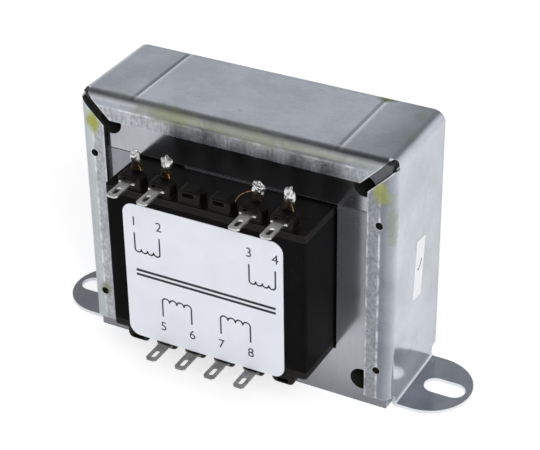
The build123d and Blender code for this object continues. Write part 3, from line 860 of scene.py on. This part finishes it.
# black mouldings; their lighter edges are edge wear with a painted highlight
bobbinLook = dict(
    shader={"Specular IOR Level": 0.12},
    dark=(0.0035, 0.003, 0.0025, 1), light=(0.008, 0.0065, 0.005, 1), worn=(0.05, 0.044, 0.037, 1),
    dust=(0.05, 0.045, 0.035, 1), texture=(160.0, 1600.0, (1, 1, 1)), edgeRub=(0.4 * mm, 400.0, 5.5),
    wear=0.6, specks=(650.0, 0.10), dusting=0.35, rough=0.36, roughBy="Cloud", roughSwing=0.3,
    cloudBump=2.0, grainBump=1.0, bump=0.25, bumpDepth=0.3 * mm,
)
shroudLook = dict(
    bobbinLook, shader={"Specular IOR Level": 0.03},
    dark=(0.0025, 0.0024, 0.0023, 1), light=(0.005, 0.0048, 0.0048, 1), worn=(0.03, 0.03, 0.03, 1),
    dust=(0.05, 0.05, 0.05, 1), texture=(90.0, 1600.0, (1, 1, 0.15)), edgeRub=(0.4 * mm, 400.0, 4.0),
    rough=0.34, bump=0.12,
)

# tinned tags, solder and copper
tagLook = dict(
    shader={"Metallic": 0.92},
    dark=(0.48, 0.475, 0.45, 1), light=(0.72, 0.715, 0.69, 1), worn=(0.92, 0.915, 0.90, 1),
    texture=(500.0, 2500.0, (1, 0.2, 1)), edgeRub=(0.12 * mm, 900.0, 3.0), wear=0.5,
    rough=0.28, roughBy="Grain", roughSwing=0.25, cloudBump=1.0, grainBump=0.0, bump=0.15, bumpDepth=0.2 * mm,
)
# a shaded copy of the tinned tag for the lower tags: painted shade
shadedTagLook = dict(
    tagLook, dark=(0.17, 0.165, 0.155, 1), light=(0.30, 0.29, 0.275, 1), worn=(0.55, 0.54, 0.52, 1),
)
solderLook = dict(
    tagLook, dark=(0.52, 0.51, 0.49, 1), light=(0.88, 0.88, 0.87, 1), worn=(0.95, 0.95, 0.95, 1),
    texture=(900.0, 3000.0, (1, 1, 1)), rough=0.20, bump=0.5,
)
copperLook = dict(
    tagLook, shader={"Metallic": 0.85},
    dark=(0.012, 0.007, 0.004, 1), light=(0.07, 0.038, 0.019, 1), worn=(0.13, 0.078, 0.038, 1),
    texture=(700.0, 2500.0, (1, 1, 1)), bump=0.1,
)
looseLook = dict(
    copperLook, dark=(0.26, 0.14, 0.05, 1), light=(0.58, 0.36, 0.15, 1), worn=(0.75, 0.52, 0.25, 1),
)

# white film of the label and the sticker, and the ink on them; the film's darker edges are painted shade
labelLook = dict(
    shader={"Specular IOR Level": 0.3},
    dark=(0.80, 0.82, 0.885, 1), light=(0.84, 0.86, 0.92, 1), worn=(0.60, 0.61, 0.64, 1),
    texture=(110.0, 2200.0, (1, 1, 1)), edgeRub=(0.25 * mm, 300.0, 2.0), wear=0.35,
    specks=(420.0, 0.06), dusting=0.12, rough=0.42, roughBy="Grain", roughSwing=0.15,
    cloudBump=1.0, grainBump=0.0, bump=0.08, bumpDepth=0.3 * mm,
)
stickerLook = dict(
    labelLook, dark=(0.94, 0.94, 0.94, 1), light=(0.97, 0.97, 0.97, 1), worn=(0.74, 0.74, 0.74, 1),
    rough=0.5, bump=0.1,
)
inkLook = dict(
    labelLook, dark=(0.016, 0.016, 0.02, 1), light=(0.035, 0.035, 0.042, 1), worn=(0.10, 0.10, 0.11, 1),
    rough=0.45,
)

# wound wire and tape inside the bobbin
stripeLook = dict(
    shader={"Metallic": 0.75}, dark=(0.17, 0.055, 0.02, 1), light=(0.50, 0.22, 0.085, 1),
    wire=0.55 * mm, waver=0.35, span=(0.02, 0.32), texture=(120.0, 900.0, (0.1, 0.1, 1)),
    rough=0.32, roughSwing=0.2, bump=0.7, bumpDepth=0.3 * mm,
)


def makeWinding():
    look = stripeLook
    material, tree, shader, place = startMaterial("woundCopper", look["shader"])
    z = put(tree, "SeparateXYZ", {0: place}).outputs[2]
    grain = grainOf(tree, place, look["texture"])
    steps = calc(tree, "DIVIDE", z, look["wire"])  # one for each turn of wire
    wavy = calc(tree, "ADD", steps, both(tree, grain["Cloud"], look["waver"]))
    turns = calc(tree, "PINGPONG", wavy, 0.5)
    colour = blend(tree, remap(tree, turns, *look["span"]), look["dark"], look["light"])
    rough = spread(tree, grain["Grain"], look["rough"], look["roughSwing"])
    fillShader(tree, shader, look, colour, rough, turns)
    return material


tapeLook = dict(
    shader={"Coat Weight": 0.3, "Coat Roughness": 0.2},
    dark=(0.50, 0.36, 0.05, 1), light=(0.72, 0.56, 0.12, 1),
    lap=6 * mm, mix=(0.8, 0.4), span=(0.3, 0.8), texture=(140.0, 1300.0, (0.15, 0.15, 1)),
    rough=0.42, roughSwing=0.25, bump=0.3, bumpDepth=0.2 * mm,
)


def makeTape():
    look = tapeLook
    material, tree, shader, place = startMaterial("coilTape", look["shader"])
    z = put(tree, "SeparateXYZ", {0: place}).outputs[2]
    grain = grainOf(tree, place, look["texture"])
    lap = calc(tree, "PINGPONG", calc(tree, "DIVIDE", z, look["lap"]), 0.5)
    tone = weighted(tree, *zip((grain["Cloud"], lap), look["mix"]))
    colour = blend(tree, remap(tree, tone, *look["span"]), look["dark"], look["light"])
    rough = spread(tree, grain["Grain"], look["rough"], look["roughSwing"])
    height = calc(tree, "ADD", lap, grain["Cloud"])
    fillShader(tree, shader, look, colour, rough, height)
    return material


zinc = makeZinc()
coreSteel = makeCore()
bobbinBlack = makePlain("bobbinBlack", bobbinLook)
shroudBlack = makePlain("shroudBlack", shroudLook)
tinnedTag = makePlain("tinnedTag", tagLook)
shadedTag = makePlain("shadedTag", shadedTagLook)
brightSolder = makePlain("brightSolder", solderLook)
leadCopper = makePlain("leadCopper", copperLook)
looseCopper = makePlain("looseCopper", looseLook)
woundCopper = makeWinding()
coilTape = makeTape()
labelFilm = makePlain("labelFilm", labelLook)
stickerFilm = makePlain("stickerFilm", stickerLook)
labelInk = makePlain("labelInk", inkLook)
print("materials done")


def materialFor(node):
    # by what the node's name says it is
    for word, material in (
        ("frame", zinc), ("laminations", coreSteel), ("bobbin", bobbinBlack), ("shroud", shroudBlack),
        ("label", labelFilm), ("sticker", stickerFilm), ("tape", coilTape), ("winding", woundCopper),
        ("lead", leadCopper), ("solder", brightSolder), ("secondary_tag", shadedTag), ("tag", tinnedTag),
    ):
        if word in node:
            return material
    return zinc


for name, cadObject in nodes.items():
    for materialSlot in cadObject.material_slots:
        materialSlot.material = materialFor(name)
solderBeads.data.materials.append(brightSolder)
wireWraps.data.materials.append(leadCopper)
wireEnds.data.materials.append(looseCopper)
for inked in [windingSign, penTick] + numbers:
    inked.data.materials.append(labelInk)
print("materials placed")

# floor, light and camera
floorLook = dict(half=2.5, drop=0.1 * mm, tone=(0.90, 0.90, 0.90, 1), rough=0.9, lift=0.55, mirrorLift=0.40)


def makeFloor():
    # a flat square; its white is lifted only for what the camera, reflections and glass see
    side = np.linspace(-floorLook["half"], floorLook["half"], 2)
    x, y = np.meshgrid(side, side)
    points, quads = gridFaces(np.stack((x, y, np.full(x.shape, -floorLook["drop"])), axis=-1))
    mesh = bpy.data.meshes.new("floor")
    mesh.from_pydata(points.tolist(), [], quads.tolist())
    floor = bpy.data.objects.new("floor", mesh)
    bpy.context.collection.objects.link(floor)
    material, tree, shader, place = startMaterial("paleFloor", {
        "Base Color": floorLook["tone"], "Roughness": floorLook["rough"], "Specular IOR Level": 0.0,
        "Emission Color": (1, 1, 1, 1),
    })
    rays = put(tree, "LightPath").outputs
    mirrored = either(tree, rays["Is Glossy Ray"], rays["Is Transmission Ray"])
    glow = weighted(tree, (rays["Is Camera Ray"], floorLook["lift"]), (mirrored, floorLook["mirrorLift"]))
    tree.links.new(glow, shader.inputs["Emission Strength"])
    mesh.materials.append(material)


# brightness of the surroundings by sine of the elevation: a bright horizon that fades to a dark ceiling
skyLook = dict(
    levels=((0.0, 0.95), (0.22, 0.80), (0.45, 0.60), (0.60, 0.45), (0.80, 0.22), (0.90, 0.09), (1.0, 0.07)),
    blue=1.03,  # share of blue, where red and green have 1
)


def makeWorld():
    world = bpy.data.worlds.new("studio")
    bpy.context.scene.world = world
    world.use_nodes = True
    tree = world.node_tree
    tree.nodes.clear()
    direction = put(tree, "SeparateXYZ", {0: put(tree, "TexCoord").outputs["Generated"]})
    ramp = put(tree, "ValToRGB", {0: direction.outputs[2]})
    stops = ramp.color_ramp.elements
    # the ramp starts with a stop at each end; those between are new
    colours = {place: (level, level, level * skyLook["blue"], 1) for place, level in skyLook["levels"]}
    first, *between, last = colours
    for stop, place in zip(stops, (first, last)):
        stop.position = place
        stop.color = colours[place]
    for place in between:
        stops.new(place).color = colours[place]
    background = put(tree, "Background", {"Color": ramp.outputs[0], "Strength": 1.0})
    output = put(tree, "OutputWorld")
    tree.links.new(background.outputs[0], output.inputs[0])


lampAim = Vector((0, 0, 30)) * mm
softBoxes = (
    dict(name="keyBox", place=(0.55, -0.85, 0.75), size=0.7, power=6.6, mirrored=False),
    dict(name="sideBox", place=(0.95, -0.35, 0.35), size=0.5, power=1.6, mirrored=True),
)


def makeSoftBox(box):
    lamp = bpy.data.lights.new(box["name"], "AREA")
    lamp.shape = "SQUARE"
    lamp.size = box["size"]
    lamp.energy = box["power"]
    holder = bpy.data.objects.new(box["name"], lamp)
    holder.location = box["place"]
    aim = lampAim - holder.location
    holder.rotation_euler = aim.to_track_quat("-Z", "Y").to_euler()
    holder.visible_glossy = box["mirrored"]  # the key would glare in the flat top when seen from behind
    bpy.context.collection.objects.link(holder)


cameraLook = dict(
    place=Vector((178.79, -327.24, 265.28)) * mm, aim=Vector((2.17, 0.0, 35.90)) * mm,
    roll=math.radians(-0.907), lens=113.79, sensor=36.0, clip=(0.01, 20.0),
)


def makeCamera():
    camera = bpy.data.cameras.new("photoCamera")
    camera.sensor_fit = "HORIZONTAL"
    camera.sensor_width = cameraLook["sensor"]
    camera.lens = cameraLook["lens"]
    camera.clip_start, camera.clip_end = cameraLook["clip"]
    holder = bpy.data.objects.new("photoCamera", camera)
    holder.location = cameraLook["place"]
    facing = (cameraLook["aim"] - cameraLook["place"]).to_track_quat("-Z", "Y")
    holder.rotation_mode = "QUATERNION"
    holder.rotation_quaternion = facing @ Quaternion((0, 0, 1), cameraLook["roll"])
    bpy.context.collection.objects.link(holder)
    bpy.context.scene.camera = holder


makeFloor()
makeWorld()
for box in softBoxes:
    makeSoftBox(box)
makeCamera()
bpy.context.scene.view_settings.view_transform = "Standard"
print("stage done")
